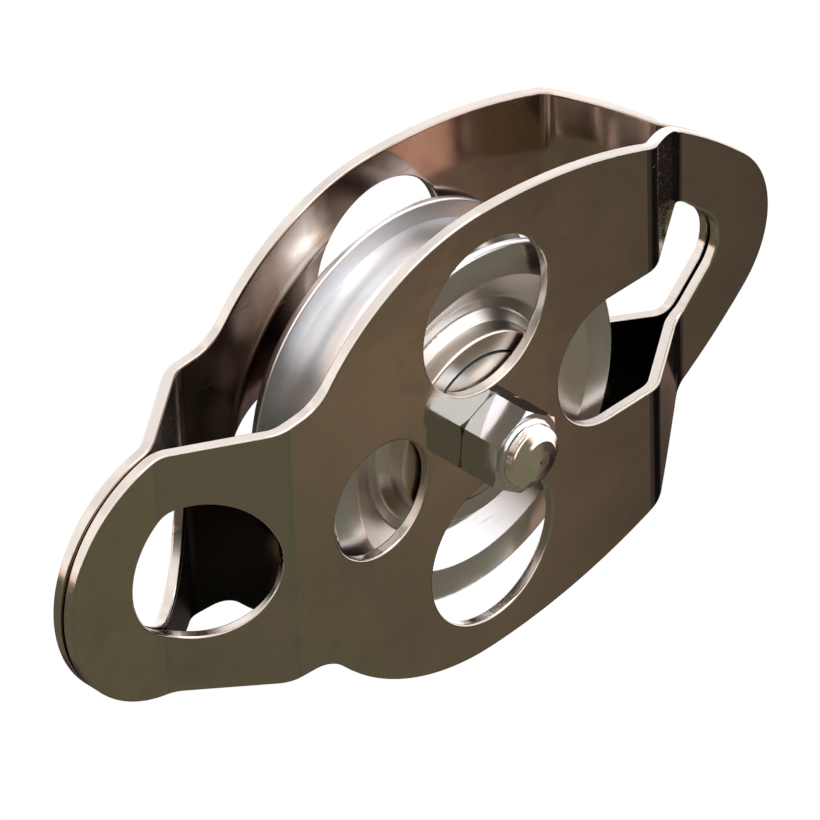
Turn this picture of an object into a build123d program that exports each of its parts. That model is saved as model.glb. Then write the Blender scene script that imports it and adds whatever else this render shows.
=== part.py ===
"""Single-sheave rigging block with a becket eye at each end.

Frame: millimetres. Origin at the centre of the sheave, on the axle's axis.
+Z runs up the block's long axis to the slotted becket, +Y runs along the axle
from the lock-nut side (front) to the bolt-head side (rear), +X is to the right
as seen from the front.
"""
from build123d import *
import math
import os

os.makedirs("parts", exist_ok=True)

# ---------------------------------------------------------------- driving dimensions
# side plates (cheeks), pressed from flat sheet
SHEET = 2.5            # sheet thickness
CHEEK_IN = 13.0        # inner face of a cheek's body, from the mid-plane
TAB_IN = 0.15          # inner face of a tab, from the mid-plane
BEND_R = 7.0           # mid-surface radius of every bend
TOP_BEND_1 = 46.0      # upper joggle starts (height along Z)
TOP_BEND_2 = 65.0      # upper joggle ends
LOW_BEND_1 = -53.8     # lower joggle starts
LOW_BEND_2 = -72.0     # lower joggle ends
EDGE_R = 0.5           # rolled edge radius of the plates

# blank of a cheek, laid out on the flat sheet: X across, S along the sheet.
# S equals Z on the body and keeps counting the sheet's own length over the bends.
SIDE_HALF = 51.35      # widest half-width
SIDE_S = -1.0          # height of the widest place
SIDE_R_UP = 132.0      # side arc above it, runs up to the tip
SIDE_R_LOW = 52.3      # side arc below it
TIP_S = 74.4           # centre of the tip arc, which touches both side arcs
NECK_X = 29.9          # half-width where the lower arc turns into the neck
NECK_R = 11.4
END_S = -72.4          # centre of the lower end arc
END_R = 27.8

# openings of a cheek
BIG_HOLE_R = 16.6
BIG_HOLE_X = 27.5
SMALL_HOLE_R = 12.4
SMALL_HOLE_Z = -28.9
SLOT_HALF = 14.1       # half-width of the upper slot
SLOT_NEAR_S = 32.9     # centre of its round near end
SLOT_SHOULDER_S = 70.1
SLOT_APEX_S = 85.2     # sharp apex before rounding
SLOT_APEX_R = 8.8
SLOT_SHOULDER_R = 7.0
EYE_R = 15.4           # round becket eye, punched before the sheet is bent
EYE_S = -69.3

# sheave
SHEAVE_R = 38.1
SHEAVE_HALF = 11.25
GROOVE_R = 8.5         # rope groove section
TREAD_R = 26.1         # radius of the groove floor
RIM_HALF = 9.45        # groove half-width at the rim
DISH_OUT_R = 31.2
DISH_IN_R = 25.0
DISH_FLOOR_R = 22.6
DISH_Y = 7.3
HUB_R = 20.0
HUB_HALF = 12.3

# bearings (two, side by side)
BEARING_BORE_R = 7.5
BEARING_OUT_R = 16.0
BEARING_IN_Y = 1.5
BEARING_OUT_Y = 10.5
BALL_R = 2.38
BALL_COUNT = 9
PITCH_R = 11.75
RACEWAY_R = 2.43
INNER_RACE_R = 9.8
OUTER_RACE_R = 13.7

# axle
BOLT_R = 6.3
SLEEVE_BORE_R = 6.35
SLEEVE_HALF = 12.9     # sleeve and collars end here, so a cheek keeps 0.1 mm on each face
CHEEK_BORE_R = 6.36    # a cheek turns on the bolt's plain shank
SEAT_Y = 15.6          # nut and bolt head stand here
COLLAR_R = 9.7
DUST_R = 15.5          # thin flange of a collar, covers the bearing
DUST_Y = 12.0          # its inner face
DUST_T = 0.6
HEX_AF = 16.0          # across flats
HEX_R = HEX_AF / math.sqrt(3)
HEX_TURN = -6.0
NUT_HEX_H = 9.2
NUT_CROWN_H = 0.8
BOLT_END = 29.1        # bolt's free end, from the mid-plane
HEAD_H = 6.0

TURN = Axis.Y


def save(name, part):
    part.label = name
    export_step(part, f"parts/{name}.step")


def ring(r_in, r_out, y0, y1):
    """Plain ring on the axle's axis."""
    lo, hi = min(y0, y1), max(y0, y1)
    with BuildPart() as p:
        with BuildSketch(Plane.XY):
            with Locations(((r_in + r_out) / 2, (lo + hi) / 2)):
                Rectangle(r_out - r_in, hi - lo)
        revolve(axis=TURN)
    return p.part


def turned(points):
    """Solid of revolution about the axle from (radius, y) corner points."""
    with BuildPart() as p:
        with BuildSketch(Plane.XY):
            with BuildLine():
                Polyline(*points, close=True)
            make_face()
        revolve(axis=TURN)
    return p.part


# ---------------------------------------------------------------- cheeks
Y_BODY = -(CHEEK_IN + SHEET / 2)       # mid-surface of the front cheek's body
Y_TAB = -(TAB_IN + SHEET / 2)          # mid-surface of its tabs


def side_offset(pts, d):
    """Corner points of a path offset to its left by d, with mitred corners."""
    n = []
    for a, b in zip(pts[:-1], pts[1:]):
        ln = math.hypot(b[0] - a[0], b[1] - a[1])
        n.append((-(b[1] - a[1]) / ln, (b[0] - a[0]) / ln))
    out = [(pts[0][0] + d * n[0][0], pts[0][1] + d * n[0][1])]
    rad = []
    for i in range(1, len(pts) - 1):
        a, b = n[i - 1], n[i]
        k = 1 + a[0] * b[0] + a[1] * b[1]
        out.append((pts[i][0] + d * (a[0] + b[0]) / k, pts[i][1] + d * (a[1] + b[1]) / k))
        turn = a[0] * b[1] - a[1] * b[0]
        rad.append(BEND_R - d if turn > 0 else BEND_R + d)
    out.append((pts[-1][0] + d * n[-1][0], pts[-1][1] + d * n[-1][1]))
    return out, rad


def bent_sheet():
    """The joggled sheet of the front cheek, wider and longer than the blank."""
    mid = [(Y_TAB, -120), (Y_TAB, LOW_BEND_2), (Y_BODY, LOW_BEND_1),
           (Y_BODY, TOP_BEND_1), (Y_TAB, TOP_BEND_2), (Y_TAB, 120)]
    left, rl = side_offset(mid, SHEET / 2)
    right, rr = side_offset(mid, -SHEET / 2)
    with BuildSketch(Plane.YZ) as s:
        with BuildLine():
            a = FilletPolyline(*left, radius=rl)
            b = FilletPolyline(*right, radius=rr)
            Line(a @ 1, b @ 1)
            Line(a @ 0, b @ 0)
        make_face()
    return extrude(s.sketch, amount=70, both=True)


def joggle(z1, z2):
    """Angle, tangent length and the four bend borders (along S) of a joggle between two heights."""
    turn = math.atan2(Y_TAB - Y_BODY, abs(z2 - z1))
    t = BEND_R * math.tan(turn / 2)
    slope = math.hypot(Y_TAB - Y_BODY, z2 - z1) - 2 * t
    s1 = abs(z1) - t
    s2 = s1 + BEND_R * turn
    s3 = s2 + slope
    return turn, t, s1, s2, s3, s3 + BEND_R * turn


UP_JOGGLE = joggle(TOP_BEND_1, TOP_BEND_2)
LOW_JOGGLE = joggle(LOW_BEND_1, LOW_BEND_2)
BORDERS = [s for s in UP_JOGGLE[2:]] + [-s for s in LOW_JOGGLE[2:]]


def bent(x, s, d):
    """Place in space of the flat sheet's point (x, s), at distance d outside the mid-surface."""
    sign, z_end = (1, TOP_BEND_2) if s > 0 else (-1, -LOW_BEND_2)
    turn, t, s1, s2, s3, s4 = UP_JOGGLE if s > 0 else LOW_JOGGLE
    u = abs(s)
    if u <= s1:
        y, z, a = Y_BODY, u, 0.0
    elif u <= s2:
        a = (u - s1) / BEND_R
        y, z = Y_BODY + BEND_R * (1 - math.cos(a)), s1 + BEND_R * math.sin(a)
    elif u <= s3:
        a = turn
        y = Y_BODY + BEND_R * (1 - math.cos(a)) + (u - s2) * math.sin(a)
        z = s1 + BEND_R * math.sin(a) + (u - s2) * math.cos(a)
    elif u <= s4:
        a = turn - (u - s3) / BEND_R
        y, z = Y_TAB - BEND_R * (1 - math.cos(a)), z_end + t - BEND_R * math.sin(a)
    else:
        y, z, a = Y_TAB, z_end + t + (u - s4), 0.0
    return x, y - d * math.cos(a), sign * (z + d * math.sin(a))


def arc(cx, cs, r, a0, a1):
    """Arc on the flat sheet, angles in degrees, run through by t = 0..1."""
    return lambda t: (cx + r * math.cos(math.radians(a0 + (a1 - a0) * t)),
                      cs + r * math.sin(math.radians(a0 + (a1 - a0) * t)))


def line(p, q):
    return lambda t: (p[0] + (q[0] - p[0]) * t, p[1] + (q[1] - p[1]) * t)


def both_sides(right):
    """Closed outline from its right-hand half, which runs from one end to the other."""
    left = [(lambda f: (lambda t: (-f(1 - t)[0], f(1 - t)[1])))(f) for f in right[::-1]]
    return right + left


def blank_outline():
    ux, lx = SIDE_HALF - SIDE_R_UP, SIDE_HALF - SIDE_R_LOW
    tip_r = SIDE_R_UP - math.hypot(ux, TIP_S - SIDE_S)
    touch = math.degrees(math.atan2(TIP_S - SIDE_S, -ux))
    neck_s = SIDE_S - math.sqrt(SIDE_R_LOW ** 2 - (NECK_X - lx) ** 2)
    # neck line from the corner to its touching point on the end arc
    dist = math.hypot(NECK_X, neck_s - END_S)
    end_a = math.atan2(neck_s - END_S, NECK_X) - math.acos(END_R / dist)
    end = (END_R * math.cos(end_a), END_S + END_R * math.sin(end_a))
    ln = math.hypot(end[0] - NECK_X, end[1] - neck_s)
    dx, ds = (end[0] - NECK_X) / ln, (end[1] - neck_s) / ln
    nx, ns = -ds, dx
    # hollow corner arc that touches the lower side arc and the neck line
    lo, hi = 0.0, 30.0
    for _ in range(80):
        k = (lo + hi) / 2
        c = (NECK_X + dx * k + nx * NECK_R, neck_s + ds * k + ns * NECK_R)
        if math.hypot(c[0] - lx, c[1] - SIDE_S) < SIDE_R_LOW + NECK_R:
            lo = k
        else:
            hi = k
    a_low = math.degrees(math.atan2(c[1] - SIDE_S, c[0] - lx))
    a1, a2 = a_low + 180.0, math.degrees(math.atan2(-ns, -nx))
    while a2 - a1 > 180:
        a2 -= 360
    while a2 - a1 < -180:
        a2 += 360
    foot = (c[0] - nx * NECK_R, c[1] - ns * NECK_R)
    return both_sides([
        arc(0, TIP_S, tip_r, 90, touch),
        arc(ux, SIDE_S, SIDE_R_UP, touch, 0),
        arc(lx, SIDE_S, SIDE_R_LOW, 0, a_low),
        arc(c[0], c[1], NECK_R, a1, a2),
        line(foot, end),
        arc(0, END_S, END_R, math.degrees(end_a), -90),
    ])


def slot_outline():
    """Upper becket slot: round near end, straight sides, far end narrowing to a rounded tip."""
    slant = math.atan2(SLOT_APEX_S - SLOT_SHOULDER_S, -SLOT_HALF)
    a = slant - math.pi / 2
    t = SLOT_SHOULDER_R * math.tan(a / 2)
    nx, ns = math.cos(a), math.sin(a)
    apex_c = (nx * SLOT_HALF + ns * SLOT_SHOULDER_S - SLOT_APEX_R) / ns
    shoulder = arc(SLOT_HALF - SLOT_SHOULDER_R, SLOT_SHOULDER_S - t, SLOT_SHOULDER_R, 0, math.degrees(a))
    tip = arc(0, apex_c, SLOT_APEX_R, math.degrees(a), 90)
    return both_sides([
        arc(0, SLOT_NEAR_S, SLOT_HALF, -90, 0),
        line((SLOT_HALF, SLOT_NEAR_S), (SLOT_HALF, SLOT_SHOULDER_S - t)),
        shoulder,
        line(shoulder(1), tip(0)),
        tip,
    ])


def eye_outline():
    return both_sides([arc(0, EYE_S, EYE_R, 90, -90)])


def cut_wall(pieces):
    """Cut surface through the bent sheet, square to it everywhere, along a closed outline."""
    reach = SHEET / 2 + 0.6
    faces = []
    for f in pieces:
        steps = 400
        ts = [0.0]
        for i in range(1, steps + 1):
            for border in BORDERS:
                lo, hi = (i - 1) / steps, i / steps
                if (f(lo)[1] - border) * (f(hi)[1] - border) < 0:
                    for _ in range(60):
                        m = (lo + hi) / 2
                        if (f(lo)[1] - border) * (f(m)[1] - border) <= 0:
                            hi = m
                        else:
                            lo = m
                    ts.append(hi)
        ts.append(1.0)
        for a, b in zip(ts[:-1], ts[1:]):
            if b - a < 1e-6:
                continue
            length = math.hypot(f(a)[0] - f(b)[0], f(a)[1] - f(b)[1])
            n = max(4, min(40, int(length / 1.2) + 3))
            pts = [f(a + (b - a) * i / n) for i in range(n + 1)]
            outer = Spline(*[bent(x, s, reach) for x, s in pts])
            inner = Spline(*[bent(x, s, -reach) for x, s in pts])
            faces.append(Face.make_surface_from_curves(outer.edge(), inner.edge()))
    return Shell(faces)


def cheek():
    sheet = bent_sheet().solids()[0]
    pieces = sheet.split(cut_wall(blank_outline()), keep=Keep.ALL).solids()
    plate = min(pieces, key=lambda q: q.distance_to(Vertex(0, Y_BODY, 0)))
    for outline in (slot_outline(), eye_outline()):
        plate = max(plate.split(cut_wall(outline), keep=Keep.ALL).solids(), key=lambda q: q.volume)
    for x, z, r in ((BIG_HOLE_X, 0, BIG_HOLE_R), (-BIG_HOLE_X, 0, BIG_HOLE_R),
                    (0, SMALL_HOLE_Z, SMALL_HOLE_R), (0, 0, CHEEK_BORE_R)):
        plate = plate - Pos(x, Y_BODY, z) * Rot(90, 0, 0) * Cylinder(r, 10)
    plate = plate.solids()[0]
    # every edge of the pressing is rolled, apart from the bend lines and the pivot hole
    edges = []
    for e in plate.edges():
        t = e.tangent_at(0.5)
        if abs(t.X) < 0.02 and abs(t.Y) > 0.8:
            continue
        if e.geom_type == GeomType.LINE and abs(t.X) > 0.99:
            continue
        c = e.center(CenterOf.BOUNDING_BOX)
        if math.hypot(c.X, c.Z) < 1.0 and e.length < 2 * math.pi * CHEEK_BORE_R + 1:
            continue
        edges.append(e)
    return plate.fillet(EDGE_R, edges)


front = cheek()
save("front_plate", front)
save("rear_plate", front.rotate(Axis.Z, 180))

# ---------------------------------------------------------------- sheave
g = GROOVE_R
groove_mid_r = TREAD_R + g
with BuildPart() as sheave_p:
    with BuildSketch(Plane.XY) as ss:
        with BuildLine():
            half = [(HUB_R, HUB_HALF), (HUB_R + 0.6, DISH_Y + 1.6), (DISH_FLOOR_R, DISH_Y), (DISH_IN_R, DISH_Y),
                    (DISH_OUT_R, SHEAVE_HALF), (SHEAVE_R, SHEAVE_HALF), (SHEAVE_R, RIM_HALF)]
            lower = [(r, -y) for r, y in half[::-1]]
            Polyline(*half, (groove_mid_r, g))
            ThreePointArc((groove_mid_r, g), (TREAD_R, 0), (groove_mid_r, -g))
            Polyline((groove_mid_r, -g), *lower, (BEARING_OUT_R, -HUB_HALF), (BEARING_OUT_R, -BEARING_IN_Y),
                     (13.4, -BEARING_IN_Y), (13.4, BEARING_IN_Y), (BEARING_OUT_R, BEARING_IN_Y),
                     (BEARING_OUT_R, HUB_HALF), (HUB_R, HUB_HALF))
        make_face()
        at = lambda r, y: [v for v in ss.vertices() if abs(v.X - r) < 0.01 and abs(abs(v.Y) - y) < 0.01]
        fillet(at(SHEAVE_R, SHEAVE_HALF), 0.7)
        fillet(at(SHEAVE_R, RIM_HALF), 0.55)
        fillet(at(DISH_OUT_R, SHEAVE_HALF), 0.5)
        fillet(at(DISH_FLOOR_R, DISH_Y) + at(DISH_IN_R, DISH_Y), 1.1)
        fillet(at(HUB_R, HUB_HALF), 0.6)
    revolve(axis=TURN)
    # grooves for the retaining rings
    with BuildSketch(Plane.XY):
        with Locations((16.5, BEARING_OUT_Y + 0.65), (16.5, -BEARING_OUT_Y - 0.65)):
            Rectangle(1.4, 1.3)
    revolve(axis=TURN, mode=Mode.SUBTRACT)
save("sheave", sheave_p.part)


def retaining_ring(sgn):
    """Internal retaining ring: open ring with two drilled ears."""
    y0 = sgn * BEARING_OUT_Y
    y1 = sgn * (BEARING_OUT_Y + 1.2)
    body = ring(14.7, 17.1, y0, y1)
    cut = Pos(0, (y0 + y1) / 2, 16) * Box(8.0, 3, 6)
    body = body - cut
    ym = (y0 + y1) / 2
    for s in (-1, 1):
        a = math.radians(90 + s * 20)
        ear = Pos(14.4 * math.cos(a), ym, 14.4 * math.sin(a)) * Rot(90, 0, 0) * Cylinder(1.7, 1.2)
        body = body + ear
    for s in (-1, 1):
        a = math.radians(90 + s * 20)
        body = body - Pos(14.2 * math.cos(a), ym, 14.2 * math.sin(a)) * Rot(90, 0, 0) * Cylinder(0.8, 3)
    return body


save("front_retaining_ring", retaining_ring(-1))
save("rear_retaining_ring", retaining_ring(1))

# ---------------------------------------------------------------- bearings
def bearing(side, sgn):
    a, b = sgn * BEARING_IN_Y, sgn * BEARING_OUT_Y
    ym = (a + b) / 2
    lo, hi = min(a, b), max(a, b)
    c = 0.35
    torus = Pos(0, ym, 0) * Rot(90, 0, 0) * Torus(PITCH_R, RACEWAY_R)
    inner = turned([(BEARING_BORE_R, lo + c), (BEARING_BORE_R + c, lo), (INNER_RACE_R, lo), (INNER_RACE_R, hi),
                    (BEARING_BORE_R + c, hi), (BEARING_BORE_R, hi - c)]) - torus
    outer = turned([(OUTER_RACE_R, lo), (BEARING_OUT_R - c, lo), (BEARING_OUT_R, lo + c), (BEARING_OUT_R, hi - c),
                    (BEARING_OUT_R - c, hi), (OUTER_RACE_R, hi)]) - torus
    # seats for the shields in the outer race
    for face, inward in ((lo, 1), (hi, -1)):
        outer = outer - ring(OUTER_RACE_R - 0.01, OUTER_RACE_R + 0.6, face + inward * 0.5, face + inward * 0.9)
    save(f"{side}_bearing_inner_race", inner)
    save(f"{side}_bearing_outer_race", outer)
    spots = [(PITCH_R * math.cos(2 * math.pi * i / BALL_COUNT), PITCH_R * math.sin(2 * math.pi * i / BALL_COUNT))
             for i in range(BALL_COUNT)]
    balls = [Pos(x, ym, z) * Sphere(BALL_R) for x, z in spots]
    save(f"{side}_bearing_balls", Compound(children=balls))
    cage = ring(PITCH_R - 0.75, PITCH_R + 0.75, ym - 2.9, ym + 2.9)
    for i in range(BALL_COUNT):
        pocket = Rot(0, -360 * i / BALL_COUNT, 0) * Pos(PITCH_R, ym, 0) * Rot(0, 90, 0) * Cylinder(BALL_R + 0.06, 4)
        cage = cage - pocket
    save(f"{side}_bearing_cage", cage)
    for nm, face, inward in (("inboard", a, sgn), ("outboard", b, -sgn)):
        y0, y1 = face + inward * 0.5, face + inward * 0.9
        save(f"{side}_{nm}_shield", ring(INNER_RACE_R + 0.12, OUTER_RACE_R + 0.6, y0, y1))


bearing("front", -1)
bearing("rear", 1)

# ---------------------------------------------------------------- axle
save("axle_sleeve", ring(SLEEVE_BORE_R, BEARING_BORE_R, -SLEEVE_HALF, SLEEVE_HALF))
save("race_spacer", ring(BEARING_BORE_R, INNER_RACE_R - 0.3, -BEARING_IN_Y, BEARING_IN_Y))
for side, sgn in (("front", -1), ("rear", 1)):
    save(f"{side}_thrust_collar", turned([(BEARING_BORE_R, sgn * BEARING_OUT_Y), (COLLAR_R, sgn * BEARING_OUT_Y),
                                          (COLLAR_R, sgn * DUST_Y), (DUST_R, sgn * DUST_Y), (DUST_R, sgn * (DUST_Y + DUST_T)),
                                          (COLLAR_R, sgn * (DUST_Y + DUST_T)), (COLLAR_R, sgn * SLEEVE_HALF),
                                          (BEARING_BORE_R, sgn * SLEEVE_HALF)]))


def hexagon(y0, y1):
    """Hexagonal prism on the axle between two heights along Y."""
    pts = [(HEX_R * math.cos(math.radians(60 * i + HEX_TURN)), HEX_R * math.sin(math.radians(60 * i + HEX_TURN)))
           for i in range(6)]
    lo, hi = min(y0, y1), max(y0, y1)
    with BuildPart() as p:
        with BuildSketch(Plane.XZ.offset(-lo)):
            with BuildLine():
                Polyline(*pts, close=True)
            make_face()
        extrude(amount=-(hi - lo))
    return p.part


# lock nut: chamfered hexagon, then a short crown rolled over a soft insert
seat = -SEAT_Y
hex_top = seat - NUT_HEX_H
crown = hex_top - NUT_CROWN_H
hexa = hexagon(seat, hex_top)
hex_trim = turned([(0, seat), (8.3, seat), (9.3, seat - 0.6), (9.3, hex_top + 0.5), (8.4, hex_top), (0, hex_top)])
cap = turned([(0, hex_top + 0.2), (7.15, hex_top + 0.2), (7.15, crown + 0.6), (6.95, crown + 0.2), (6.55, crown), (0, crown)])
nut = (hexa & hex_trim) + cap
nut = nut - ring(0, BOLT_R, seat + 1, crown - 1)
nut = nut - ring(BOLT_R - 0.2, 6.8, hex_top + 0.9, crown + 0.25)
save("lock_nut", nut)
save("nut_insert", ring(BOLT_R, 6.8, hex_top + 0.9, crown + 0.25))

# axle bolt: hexagonal head at the rear, plain shank, threaded and domed free end at the front
h0, h1 = SEAT_Y, SEAT_Y + HEAD_H
head_trim = turned([(0, h0), (8.3, h0), (9.3, h0 + 0.6), (9.3, h1 - 0.95), (7.75, h1), (0, h1)])
e = -BOLT_END
root = BOLT_R - 0.6
shank = turned([(0, h0 + 0.5), (BOLT_R, h0 + 0.5), (BOLT_R, crown + 0.1), (root, crown - 0.25), (BOLT_R, crown - 0.6),
                (root, crown - 0.95), (BOLT_R, crown - 1.3), (root + 0.1, crown - 1.6), (BOLT_R - 0.15, crown - 1.85),
                (4.75, e + 0.85), (4.2, e + 0.45), (2.2, e + 0.1), (0, e)])
bolt = (hexagon(h0, h1) & head_trim) + shank
save("axle_bolt", bolt)
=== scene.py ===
import math

import bpy
from mathutils import Matrix, Vector

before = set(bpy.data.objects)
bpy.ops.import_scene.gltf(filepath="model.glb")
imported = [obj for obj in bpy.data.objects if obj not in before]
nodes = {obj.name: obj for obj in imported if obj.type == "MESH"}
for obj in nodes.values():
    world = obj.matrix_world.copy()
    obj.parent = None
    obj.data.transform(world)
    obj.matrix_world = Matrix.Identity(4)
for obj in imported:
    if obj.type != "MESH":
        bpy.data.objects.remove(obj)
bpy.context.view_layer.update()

scene = bpy.context.scene
scene.view_settings.view_transform = "Standard"
scene.view_settings.look = "None"

# ------------------------------------------------------------------ camera
RIGHT = Vector((0.0305, -0.7057, 0.7079)).normalized()
BACK = Vector((-0.595, -0.5819, -0.5545)).normalized()
UP = BACK.cross(RIGHT).normalized()
BACK = RIGHT.cross(UP).normalized()
cam_data = bpy.data.cameras.new("camera")
cam_data.sensor_width = 36.0
cam_data.lens = 285.1
cam_data.clip_start = 0.01
cam_data.clip_end = 50.0
camera = bpy.data.objects.new("camera", cam_data)
scene.collection.objects.link(camera)
m = Matrix((RIGHT, UP, BACK)).transposed().to_4x4()
m.translation = Vector((-0.7400, -0.7227, -0.6948))
camera.matrix_world = m
scene.camera = camera


# ------------------------------------------------------------------ node helpers
class Tree:
    """Short names for building a node tree."""

    def __init__(self, tree):
        self.t = tree
        self.n = tree.nodes
        self.n.clear()

    def add(self, kind, **props):
        node = self.n.new(kind)
        for k, v in props.items():
            setattr(node, k, v)
        return node

    def link(self, a, b):
        self.t.links.new(a, b)

    def put(self, socket, value):
        if hasattr(value, "is_linked"):
            self.link(value, socket)
        else:
            socket.default_value = value

    def math(self, op, a, b=None, c=None, clamp=False):
        node = self.add("ShaderNodeMath", operation=op, use_clamp=clamp)
        for i, v in enumerate((a, b, c)):
            if v is not None:
                self.put(node.inputs[i], v)
        return node.outputs[0]

    def vmath(self, op, a, b=None):
        node = self.add("ShaderNodeVectorMath", operation=op)
        self.put(node.inputs[0], a)
        if b is not None:
            self.put(node.inputs[1], b)
        return node.outputs["Value"] if op in ("DOT_PRODUCT", "LENGTH", "DISTANCE") else node.outputs["Vector"]

    def ramp(self, fac, stops, mode="LINEAR"):
        node = self.add("ShaderNodeValToRGB")
        cr = node.color_ramp
        cr.interpolation = mode
        while len(cr.elements) > 1:
            cr.elements.remove(cr.elements[-1])
        cr.elements[0].position = stops[0][0]
        cr.elements[0].color = col(stops[0][1])
        for p, c in stops[1:]:
            e = cr.elements.new(p)
            e.color = col(c)
        self.put(node.inputs["Fac"], fac)
        return node.outputs["Color"]

    def mix(self, fac, a, b, blend="MIX"):
        node = self.add("ShaderNodeMix", data_type="RGBA", blend_type=blend)
        self.put(node.inputs["Factor"], fac)
        self.put(node.inputs[6], a if hasattr(a, "is_linked") else col(a))
        self.put(node.inputs[7], b if hasattr(b, "is_linked") else col(b))
        return node.outputs[2]

    def noise(self, vec, scale, detail=3.0, rough=0.5, distortion=0.0, w=None):
        node = self.add("ShaderNodeTexNoise")
        self.put(node.inputs["Vector"], vec)
        node.inputs["Scale"].default_value = scale
        node.inputs["Detail"].default_value = detail
        node.inputs["Roughness"].default_value = rough
        node.inputs["Distortion"].default_value = distortion
        return node.outputs["Fac"]

    def maprange(self, v, a, b, c=0.0, d=1.0, smooth=True):
        node = self.add("ShaderNodeMapRange", interpolation_type="SMOOTHSTEP" if smooth else "LINEAR", clamp=True) if smooth else \
            self.add("ShaderNodeMapRange", clamp=True)
        self.put(node.inputs[0], v)
        for i, x in enumerate((a, b, c, d)):
            node.inputs[i + 1].default_value = x
        return node.outputs[0]

    def mapping(self, vec, scale=(1, 1, 1), rot=(0, 0, 0), loc=(0, 0, 0)):
        node = self.add("ShaderNodeMapping")
        self.put(node.inputs["Vector"], vec)
        node.inputs["Location"].default_value = loc
        node.inputs["Rotation"].default_value = rot
        node.inputs["Scale"].default_value = scale
        return node.outputs["Vector"]


def col(c):
    c = tuple(c)
    return c if len(c) == 4 else c + (1.0,)


def srgb(r, g, b):
    """Display values 0-255 to linear."""
    f = lambda v: v / 12.92 if v <= 0.04045 else ((v + 0.055) / 1.055) ** 2.4
    return tuple(f(v / 255.0) for v in (r, g, b))


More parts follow.
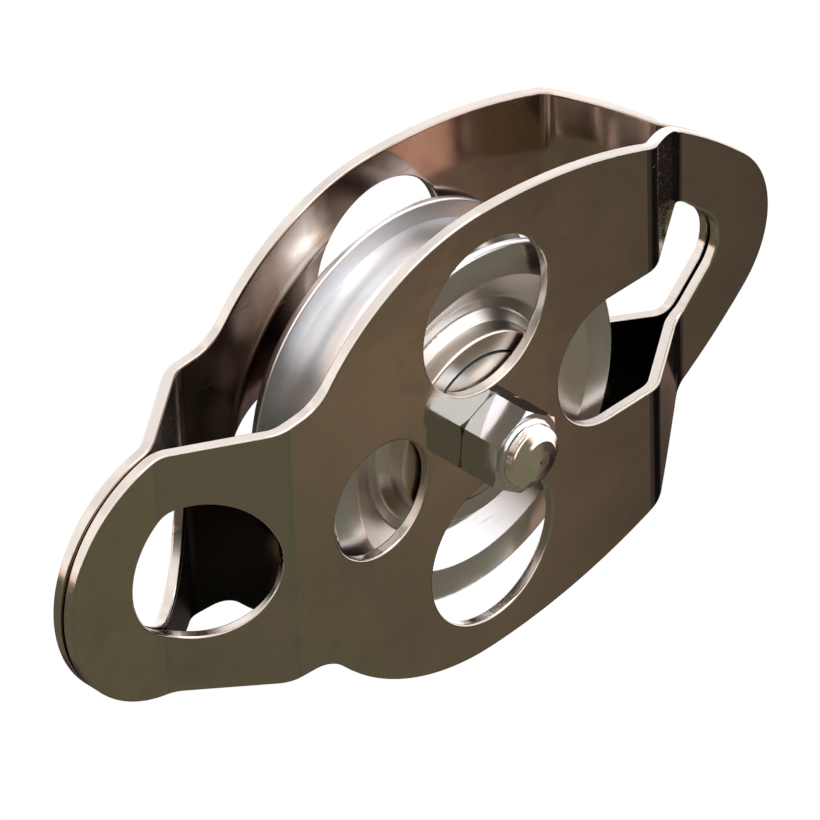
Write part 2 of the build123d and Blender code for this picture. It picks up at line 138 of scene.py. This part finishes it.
# ------------------------------------------------------------------ materials
def metal(name, base, rough, mottle=0.06, rough_var=0.05, wave=0.0, wave_scale=35.0, scratch=0.15, turned=0.0,
          grain=0.0, tint=None, speck=0.0, sheet=False, edge=None, painted_side_reflection=None):
    """A worn metal: smudged roughness, hairline scratches in several directions, slow waviness and small pits.
    turned is the height of the fine rings a lathe leaves round the axle. sheet is for the punched plates: their
    cut edges are a little rougher than the polished faces, with the drag lines of the punch across them."""
    mat = bpy.data.materials.new(name)
    mat.use_nodes = True
    t = Tree(mat.node_tree)
    out = t.add("ShaderNodeOutputMaterial")
    sh = t.add("ShaderNodeBsdfPrincipled")
    t.link(sh.outputs[0], out.inputs["Surface"])
    sh.inputs["Metallic"].default_value = 1.0
    coords = t.add("ShaderNodeTexCoord")
    pos = coords.outputs["Object"]
    # colour: slow patches and finer mottling
    slow = t.noise(pos, 28.0, 3.0, 0.55)
    fine = t.noise(pos, 240.0, 4.0, 0.6)
    shade = t.math("ADD", t.math("MULTIPLY", slow, 0.65), t.math("MULTIPLY", fine, 0.35))
    lowc = tuple(v * (1 - 2.2 * mottle) for v in base)
    c = t.ramp(shade, [(0.30, lowc), (0.52, base), (0.75, tuple(min(1.0, v * (1 + mottle)) for v in base))])
    if tint:
        c = t.mix(t.maprange(t.noise(pos, 17.0, 2.0, 0.5, 0.6), 0.42, 0.68), c, tint)
    if painted_side_reflection:
        # painted reflection on the sides of the wheel, between hub and rim: a warm brownish tint in place of the
        # plates' insides mirrored there, left off the rubbed groove and off one lower quadrant
        part = t.add("ShaderNodeSeparateXYZ")
        t.put(part.inputs[0], pos)
        out_to = t.math("SQRT", t.math("ADD", t.math("MULTIPLY", part.outputs[0], part.outputs[0]),
                                       t.math("MULTIPLY", part.outputs[2], part.outputs[2])))
        side_ring = t.math("MULTIPLY", t.maprange(out_to, 0.0345, 0.0310), t.maprange(out_to, 0.0155, 0.0180))
        off_mid = t.maprange(t.math("ABSOLUTE", part.outputs[1]), 0.0070, 0.0090)
        # the quadrant left without the painted reflection tint
        untinted_quadrant = t.math("MULTIPLY", t.maprange(part.outputs[0], 0.004, 0.014), t.maprange(part.outputs[2], -0.018, -0.008))
        off_mid = t.math("MULTIPLY", off_mid, t.math("SUBTRACT", 1.0, untinted_quadrant))
        patch = t.maprange(t.noise(pos, 26.0, 2.0, 0.5, 0.6), 0.30, 0.58, 0.25, 1.0)
        c = t.mix(t.math("MULTIPLY", t.math("MULTIPLY", side_ring, off_mid), patch), c, painted_side_reflection)
    if speck:
        dots = t.add("ShaderNodeTexVoronoi")
        t.put(dots.inputs["Vector"], pos)
        dots.inputs["Scale"].default_value = 210.0
        spots = t.math("MULTIPLY", t.maprange(dots.outputs["Distance"], 0.01, 0.055, 1.0, 0.0),
                       t.maprange(t.noise(pos, 38.0, 2.0), 0.56, 0.66))
    # roughness: smudges and rubbed streaks
    sm = t.noise(pos, 60.0, 5.0, 0.62, 0.8)
    r = t.maprange(sm, 0.35, 0.72, rough - rough_var * 0.5, rough + rough_var)
    # hairline scratches
    lines = None
    for k, (rx, ry, rz) in enumerate(((0.3, 0.2, 0.5), (1.4, 0.1, 1.9), (0.6, 1.1, 2.6))):
        v = t.mapping(pos, (1500.0, 1500.0, 22.0), (rx, ry, rz))
        n = t.noise(v, 1.0, 2.0, 0.5)
        s = t.math("MULTIPLY", t.maprange(n, 0.66, 0.74), t.maprange(t.noise(pos, 45.0 + 9 * k, 2.0), 0.50, 0.62))
        lines = s if lines is None else t.math("MAXIMUM", lines, s)
    r = t.math("ADD", r, t.math("MULTIPLY", lines, 0.22))
    height = t.math("MULTIPLY", lines, -scratch)
    height = t.math("ADD", height, t.math("MULTIPLY", t.noise(pos, 900.0, 2.0), 0.05 + grain))
    if speck:
        height = t.math("ADD", height, t.math("MULTIPLY", spots, 2.0 * speck))
        r = t.math("ADD", r, t.math("MULTIPLY", spots, 0.45))
        c = t.mix(t.math("MULTIPLY", spots, speck), c, (0.95, 0.93, 0.90))
    if sheet:
        nor = t.add("ShaderNodeSeparateXYZ")
        t.put(nor.inputs[0], coords.outputs["Normal"])
        wall = t.maprange(t.math("ABSOLUTE", nor.outputs[1]), 0.40, 0.66, 1.0, 0.0)
        drag = t.noise(t.mapping(pos, (620.0, 45.0, 620.0)), 1.0, 3.0, 0.6)
        smear = t.noise(pos, 210.0, 3.0, 0.6)
        r = t.math("ADD", r, t.math("MULTIPLY", wall, t.maprange(smear, 0.35, 0.7, 0.05, 0.17)))
        height = t.math("ADD", height, t.math("MULTIPLY", wall, t.math("MULTIPLY", drag, 1.3)))
        if edge:
            c = t.mix(wall, c, edge)
        # the insides of the plates: reflection bands painted along their length in reddish, pale and dark tones, and
        # painted shade darkening them to near black towards the tabs where the plates close in; the insides are also a
        # little rougher than the polished faces
        at = t.add("ShaderNodeSeparateXYZ")
        t.put(at.inputs[0], pos)
        inside = t.maprange(t.math("MULTIPLY", t.math("SIGN", at.outputs[1]), nor.outputs[1]), -0.30, -0.60, 0.0, 1.0)
        along = t.math("ADD", at.outputs[2], t.math("MULTIPLY", t.math("SUBTRACT", t.noise(pos, 90.0, 3.0, 0.6), 0.5), 0.010))
        # painted shade: the insides go near black towards both tabs, where the plates close in
        painted_shade_near_tabs = t.math("MAXIMUM", t.maprange(along, -0.026, -0.034), t.maprange(along, 0.047, 0.056))
        painted_shade_near_tabs = t.math("MULTIPLY", painted_shade_near_tabs, t.maprange(at.outputs[0], -0.020, 0.008))
        # painted reflection: reddish, pale and dark bands along the plate's length stand in for what the insides
        # reflect
        painted_reflection_bands = t.ramp(t.maprange(along, -0.060, 0.060, 0.0, 1.0, smooth=False),
                      [(0.14, (0.17, 0.120, 0.095)), (0.21, (0.13, 0.088, 0.072)), (0.26, (0.25, 0.175, 0.135)), (0.335, (0.58, 0.51, 0.455)),
                       (0.37, (0.28, 0.205, 0.165)),
                       (0.40, (0.11, 0.075, 0.055)), (0.46, (0.15, 0.105, 0.085)), (0.56, (0.52, 0.40, 0.35)), (0.70, (0.60, 0.48, 0.43)),
                       (0.90, (0.45, 0.37, 0.32))])
        # one plate's inside gets a single pinkish painted reflection tone in place of the bands
        painted_reflection_bands = t.mix(t.maprange(at.outputs[1], -0.002, 0.002), (0.68, 0.555, 0.46), painted_reflection_bands)
        # painted reflection bands with random mottling, darkened by the painted shade near the tabs, laid on the inner
        # faces
        inside_reflection_and_shade = t.mix(painted_shade_near_tabs, t.mix(t.maprange(t.noise(pos, 75.0, 3.0, 0.6), 0.35, 0.65), t.mix(1.0, painted_reflection_bands, (0.84, 0.82, 0.80), "MULTIPLY"),
                                  painted_reflection_bands), (0.006, 0.005, 0.0045))
        c = t.mix(inside, c, inside_reflection_and_shade)
        r = t.math("ADD", r, t.math("MULTIPLY", inside, t.math("ADD", t.math("MULTIPLY", painted_shade_near_tabs, 0.14), 0.03)))
    t.link(c, sh.inputs["Base Color"])
    t.link(r, sh.inputs["Roughness"])
    if turned:
        sep = t.add("ShaderNodeSeparateXYZ")
        t.put(sep.inputs[0], pos)
        rad = t.math("SQRT", t.math("ADD", t.math("MULTIPLY", sep.outputs[0], sep.outputs[0]),
                                    t.math("MULTIPLY", sep.outputs[2], sep.outputs[2])))
        rv = t.add("ShaderNodeCombineXYZ")
        t.put(rv.inputs[0], rad)
        t.put(rv.inputs[1], sep.outputs[1])
        band = t.noise(rv.outputs[0], 2400.0, 3.0, 0.7)
        slowband = t.noise(rv.outputs[0], 520.0, 2.0, 0.5)
        height = t.math("ADD", height, t.math("MULTIPLY", t.math("ADD", band, slowband), turned))
    bump = t.add("ShaderNodeBump")
    bump.inputs["Strength"].default_value = 0.22
    bump.inputs["Distance"].default_value = 0.00004
    t.put(bump.inputs["Height"], height)
    last = bump.outputs[0]
    if wave:
        big = t.add("ShaderNodeBump")
        big.inputs["Strength"].default_value = 1.0
        big.inputs["Distance"].default_value = wave
        t.put(big.inputs["Height"], t.noise(pos, wave_scale, 1.0, 0.4))
        t.link(last, big.inputs["Normal"])
        last = big.outputs[0]
    t.link(last, sh.inputs["Normal"])
    return mat


def plastic(name, base, rough=0.45):
    mat = bpy.data.materials.new(name)
    mat.use_nodes = True
    t = Tree(mat.node_tree)
    out = t.add("ShaderNodeOutputMaterial")
    sh = t.add("ShaderNodeBsdfPrincipled")
    t.link(sh.outputs[0], out.inputs["Surface"])
    pos = t.add("ShaderNodeTexCoord").outputs["Object"]
    n = t.noise(pos, 300.0, 4.0, 0.6)
    t.link(t.ramp(n, [(0.3, tuple(v * 0.82 for v in base)), (0.7, base)]), sh.inputs["Base Color"])
    t.link(t.maprange(t.noise(pos, 700.0, 3.0), 0.3, 0.7, rough - 0.1, rough + 0.12), sh.inputs["Roughness"])
    bump = t.add("ShaderNodeBump")
    bump.inputs["Strength"].default_value = 0.3
    bump.inputs["Distance"].default_value = 0.00005
    t.put(bump.inputs["Height"], n)
    t.link(bump.outputs[0], sh.inputs["Normal"])
    sh.inputs["Subsurface Weight"].default_value = 0.05
    return mat


def floor_material():
    mat = bpy.data.materials.new("floor_pale")
    mat.use_nodes = True
    t = Tree(mat.node_tree)
    out = t.add("ShaderNodeOutputMaterial")
    sh = t.add("ShaderNodeBsdfPrincipled")
    t.link(sh.outputs[0], out.inputs["Surface"])
    pos = t.add("ShaderNodeTexCoord").outputs["Object"]
    n = t.noise(pos, 3.0, 3.0, 0.5)
    t.link(t.ramp(n, [(0.3, (0.84, 0.84, 0.84)), (0.7, (0.88, 0.88, 0.88))]), sh.inputs["Base Color"])
    sh.inputs["Roughness"].default_value = 0.9
    return mat


plate_mat = metal("plate_polished_stainless", (0.50, 0.455, 0.405), 0.075, mottle=0.10, rough_var=0.04, wave=0.00006,
                  wave_scale=20.0, scratch=0.35, tint=(0.46, 0.445, 0.375), speck=0.7, sheet=True, edge=(0.53, 0.475, 0.425))
sheave_mat = metal("sheave_turned_aluminium", (0.79, 0.805, 0.825), 0.31, mottle=0.04, rough_var=0.06, scratch=0.2, turned=0.05,
                   painted_side_reflection=(0.76, 0.690, 0.635))
nut_mat = metal("nut_polished_steel", (0.72, 0.73, 0.77), 0.12, mottle=0.06, rough_var=0.05, scratch=0.35)
bolt_mat = metal("bolt_turned_steel", (0.90, 0.85, 0.81), 0.16, mottle=0.06, rough_var=0.06, scratch=0.35, turned=0.12)
race_mat = metal("bearing_ground_steel", (0.60, 0.61, 0.63), 0.13, mottle=0.05, turned=0.12)
collar_mat = metal("collar_turned_steel", (0.74, 0.74, 0.74), 0.33, mottle=0.05, rough_var=0.06, turned=0.08)
shield_mat = metal("bearing_shield_steel", (0.50, 0.50, 0.51), 0.24, mottle=0.08, grain=0.2)
ring_mat = metal("retaining_ring_phosphated", (0.10, 0.10, 0.105), 0.42, mottle=0.15, grain=0.5)
cage_mat = metal("bearing_cage_steel", (0.45, 0.44, 0.40), 0.28, mottle=0.08, grain=0.3)
nylon_mat = plastic("insert_nylon", (0.80, 0.82, 0.86))


def paint(node, mat):
    ob = nodes[node]
    if not ob.material_slots:
        ob.data.materials.append(mat)
    for s in ob.material_slots:
        s.material = mat


for name in nodes:
    if name in ("front_plate", "rear_plate"):
        paint(name, plate_mat)
    elif name == "sheave":
        paint(name, sheave_mat)
    elif name == "lock_nut":
        paint(name, nut_mat)
    elif name == "axle_bolt":
        paint(name, bolt_mat)
    elif name == "nut_insert":
        paint(name, nylon_mat)
    elif "thrust_collar" in name:
        paint(name, collar_mat)
    elif "retaining" in name:
        paint(name, ring_mat)
    elif "shield" in name:
        paint(name, shield_mat)
    elif "cage" in name:
        paint(name, cage_mat)
    else:
        paint(name, race_mat)

# ------------------------------------------------------------------ world: a pale room above, dark brown below
world = bpy.data.worlds.new("studio")
scene.world = world
world.use_nodes = True
w = Tree(world.node_tree)
out = w.add("ShaderNodeOutputWorld")
direction = w.add("ShaderNodeTexCoord").outputs["Generated"]
sep = w.add("ShaderNodeSeparateXYZ")
w.put(sep.inputs[0], direction)
patches = w.noise(direction, 2.6, 3.0, 0.55, 0.4)
small = w.noise(direction, 14.0, 2.0, 0.5, 0.3)
height = w.vmath("DOT_PRODUCT", direction, (-0.8032, 0.4042, 0.4376))
height = w.math("ADD", height, w.math("MULTIPLY", w.math("SUBTRACT", patches, 0.5), 0.08))
height = w.math("ADD", height, w.math("MULTIPLY", w.math("SUBTRACT", small, 0.5), 0.04))
height = w.math("ADD", height, w.math("MULTIPLY", w.math("MINIMUM", sep.outputs[1], 0.0), -0.06))
height = w.math("ADD", height, w.maprange(sep.outputs[2], -0.95, -0.35, 0.20, 0.0))
# the dark half: olive on one side, brown in the middle, dark brown and then near black on the other
side = w.vmath("DOT_PRODUCT", direction, (0.0305, 0.7057, 0.7079))
rise = w.vmath("DOT_PRODUCT", direction, (-0.8032, -0.4042, 0.4376))
drift = w.math("MULTIPLY", w.math("SUBTRACT", w.noise(direction, 22.0, 2.0, 0.5, 0.4), 0.5), 0.10)
tone = w.maprange(w.math("ADD", w.math("ADD", side, drift), w.math("MULTIPLY", rise, 0.35)), -0.10, 0.10, 0.0, 1.0, smooth=False)
brown = w.ramp(tone, [(0.00, (0.160, 0.165, 0.105)), (0.22, (0.205, 0.185, 0.120)), (0.40, (0.170, 0.148, 0.100)),
                      (0.55, (0.180, 0.140, 0.098)), (0.68, (0.158, 0.122, 0.090)), (0.84, (0.098, 0.073, 0.062)),
                      (1.00, (0.075, 0.056, 0.048))])
glow = w.maprange(w.vmath("DISTANCE", direction, (0.590, -0.5856, 0.5561)), 0.004, 0.040, 1.0, 0.0)
brown = w.mix(glow, brown, w.mix(1.0, brown, (0.125, 0.062, 0.042), "ADD"))
brown = w.mix(w.maprange(side, -0.35, -0.15, 1.0, 0.0), brown, (0.185, 0.163, 0.112))
# the near black corner
corner = w.vmath("DOT_PRODUCT", direction, (0.598, -0.12, 0.792))
brown = w.mix(w.maprange(corner, 0.945, 0.985), brown, (0.010, 0.008, 0.008))
# the pale half
pale = w.ramp(patches, [(0.30, (1.30, 1.30, 1.37)), (0.5, (1.65, 1.65, 1.68)), (0.7, (2.0, 1.95, 1.9))])
edge_tint = w.ramp(w.maprange(height, -0.04, 0.16, 0.0, 1.0, smooth=False),
                   [(0.0, (0.20, 0.12, 0.09)), (0.14, (0.62, 0.36, 0.26)), (0.35, (0.86, 0.68, 0.58)), (0.62, (1.0, 0.95, 0.91)),
                    (1.0, (1.0, 1.0, 1.0))])
room = w.mix(w.maprange(height, -0.035, 0.005), brown, w.mix(1.0, pale, edge_tint, "MULTIPLY"))
bg_room = w.add("ShaderNodeBackground")
w.put(bg_room.inputs["Color"], room)
bg_room.inputs["Strength"].default_value = 1.0
bg_white = w.add("ShaderNodeBackground")
bg_white.inputs["Color"].default_value = (1, 1, 1, 1)
bg_white.inputs["Strength"].default_value = 1.0
pick = w.add("ShaderNodeMixShader")
w.put(pick.inputs[0], w.add("ShaderNodeLightPath").outputs["Is Camera Ray"])
w.link(bg_room.outputs[0], pick.inputs[1])
w.link(bg_white.outputs[0], pick.inputs[2])
w.link(pick.outputs[0], out.inputs["Surface"])


# ------------------------------------------------------------------ soft studio light
def area(name, place, size, power, colour=(1, 1, 1), target=(0, 0, 0)):
    d = bpy.data.lights.new(name, "AREA")
    d.shape = "RECTANGLE"
    d.size, d.size_y = size
    d.energy = power
    d.color = colour
    o = bpy.data.objects.new(name, d)
    scene.collection.objects.link(o)
    o.location = place
    o.rotation_euler = (Vector(target) - Vector(place)).to_track_quat("-Z", "Y").to_euler()
    return o


area("key", (-1.6, -0.5, 0.5), (1.1, 1.1), 12.0, (1.0, 0.98, 0.95))
fill = area("fill", (-0.9, 1.2, 0.6), (0.8, 0.8), 6.0, (0.97, 0.98, 1.0))
fill.visible_glossy = False

# ------------------------------------------------------------------ floor
mesh = bpy.data.meshes.new("floor")
s = 7.0
mesh.from_pydata([(-s, -s, 0), (s, -s, 0), (s, s, 0), (-s, s, 0)], [], [(0, 1, 2, 3)])
floor = bpy.data.objects.new("floor", mesh)
scene.collection.objects.link(floor)
floor.location = (0, 0, -1.5)
mesh.materials.append(floor_material())
floor.visible_glossy = False
